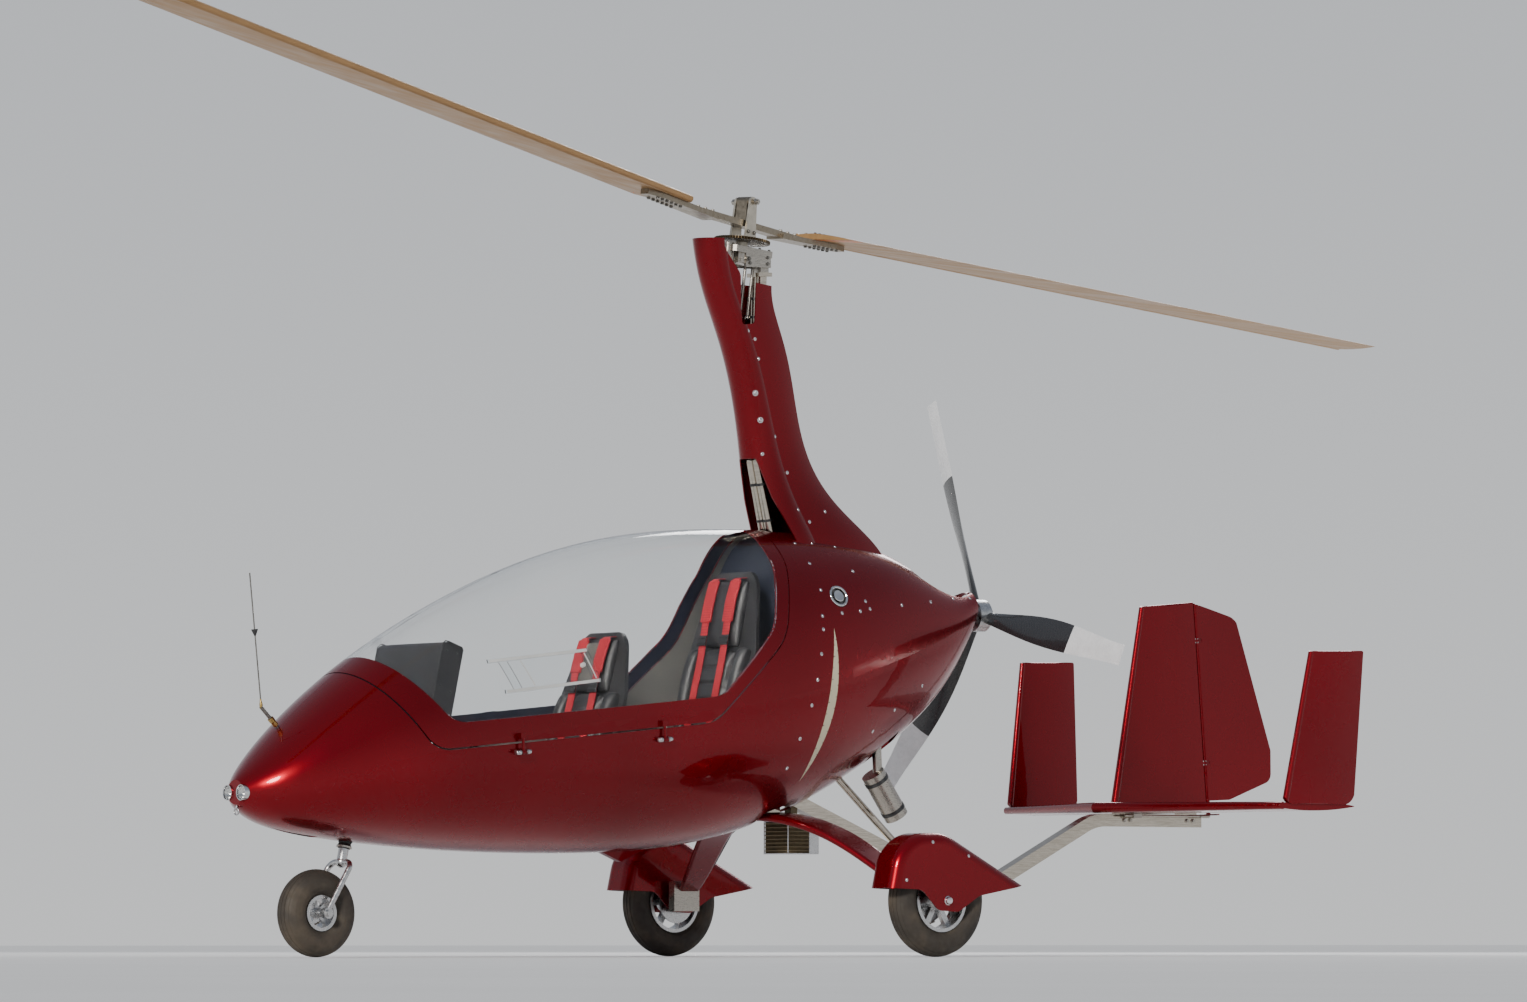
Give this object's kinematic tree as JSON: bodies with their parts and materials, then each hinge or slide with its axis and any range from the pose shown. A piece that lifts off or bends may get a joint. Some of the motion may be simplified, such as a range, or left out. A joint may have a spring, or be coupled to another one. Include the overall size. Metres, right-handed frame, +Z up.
{
  "type": "enclosed two-seat gyroplane",
  "caption": "Enclosed tandem two-seat gyroplane with a teetering rotor on a faired mast, pusher propeller, three-wheel gear and triple-fin tail.",
  "frame": {"origin": "on the ground straight below the centre of the rotor hub, midway along the rotor", "axes": "+X to the nose, +Y to port, +Z up"},
  "size_m": [8.1009, 2.3714, 3.4574],
  "materials": {
    "paint_red": "gloss",
    "glass": "gloss",
    "steel": "satin",
    "alloy": "satin",
    "blade": "satin",
    "carbon": "gloss",
    "tyre": "matte",
    "black": "matte",
    "ivory": "satin",
    "fabric": "matte"
  },
  "bodies": {
    "airframe": {"axle_left": "steel", "axle_right": "steel", "belly_wedge": "black", "brake_lines": "black", "cabin_floor": "black", "centre_fin": "paint_red", "control_rods": "steel", "control_sticks": "black", "engine_block": "alloy", "engine_cowl": "paint_red", "fin_left": "paint_red", "fin_right": "paint_red", "front_cushion": "fabric", "front_seat": "black", "fuel_cap": "steel", "fuel_sight_strip": "ivory", "fuselage_tub": "paint_red", "gear_bow": "paint_red", "hinge_brackets": "steel", "instrument_panel": "black", "keel_strut": "steel", "keel_tube": "steel", "landing_lights": "glass", "mast_fairing": "paint_red", "mast_tubes": "steel", "muffler": "steel", "nose_antenna": "black", "nose_leg_bellows": "black", "oil_cooler": "alloy", "pitot_ring": "alloy", "rear_cushion": "fabric", "rear_seat": "black", "rotor_head": "steel", "rudder_linkage": "steel", "rudder_pedals": "black", "tailplane": "paint_red", "wheel_spat_left": "paint_red", "wheel_spat_right": "paint_red"},
    "canopy": {"canopy_frame": "paint_red", "canopy_glass": "glass", "canopy_hinges": "steel", "vent_window": "glass"},
    "rotor_turntable": {"rotor_tower": "steel"},
    "rotor": {"hub_bar": "alloy", "rotor_blade_fore": "blade", "rotor_blade_aft": "blade"},
    "propeller": {"propeller_hub": "steel", "propeller_blades": "carbon"},
    "nose_steering": {"nose_fork": "steel"},
    "nose_wheel": {"nose_rim": "alloy", "nose_tyre": "tyre"},
    "left_wheel": {"main_rim_left": "alloy", "main_tyre_left": "tyre"},
    "right_wheel": {"main_rim_right": "alloy", "main_tyre_right": "tyre"},
    "rudder_body": {"rudder": "paint_red"}
  },
  "joints": [
    {"name": "rotor_spin", "type": "hinge", "parent": "airframe", "child": "rotor_turntable", "pos_m": [0, 0, 2.752], "axis": [-0.1132, 0, 0.9936], "continuous": true},
    {"name": "rotor_teeter", "type": "hinge", "parent": "rotor_turntable", "child": "rotor", "pos_m": [-0.00974, 0, 2.83745], "axis": [-0.2672, 0.9632, -0.0304], "range_deg": [-6, 6]},
    {"name": "propeller_spin", "type": "hinge", "parent": "airframe", "child": "propeller", "pos_m": [-1.13, 0, 1.305], "axis": [1, 0, 0], "continuous": true},
    {"name": "nose_steer", "type": "hinge", "parent": "airframe", "child": "nose_steering", "pos_m": [1.802, 0, 0.5], "axis": [-0.2104, 0, 0.9776], "range_deg": [-25, 25]},
    {"name": "nose_wheel_spin", "type": "hinge", "parent": "nose_steering", "child": "nose_wheel", "pos_m": [1.947, 0, 0.159], "axis": [0, 1, 0], "continuous": true},
    {"name": "left_wheel_spin", "type": "hinge", "parent": "airframe", "child": "left_wheel", "pos_m": [-0.264, 0.816, 0.2075], "axis": [0, 1, 0], "continuous": true},
    {"name": "right_wheel_spin", "type": "hinge", "parent": "airframe", "child": "right_wheel", "pos_m": [-0.264, -0.816, 0.2075], "axis": [0, 1, 0], "continuous": true},
    {"name": "rudder_turn", "type": "hinge", "parent": "airframe", "child": "rudder_body", "pos_m": [-2.2605, 0, 0.992], "axis": [0.0839, 0, 0.9965], "range_deg": [-25, 25]},
    {"name": "canopy_open", "type": "hinge", "parent": "airframe", "child": "canopy", "pos_m": [0.982, 0.388, 0.7695], "axis": [-0.9964, 0, 0.0854], "range_deg": [0, 80]}
  ],
  "couplings": [
    {"joint": "rudder_turn", "follows": "nose_steer", "ratio": -1}
  ]
}
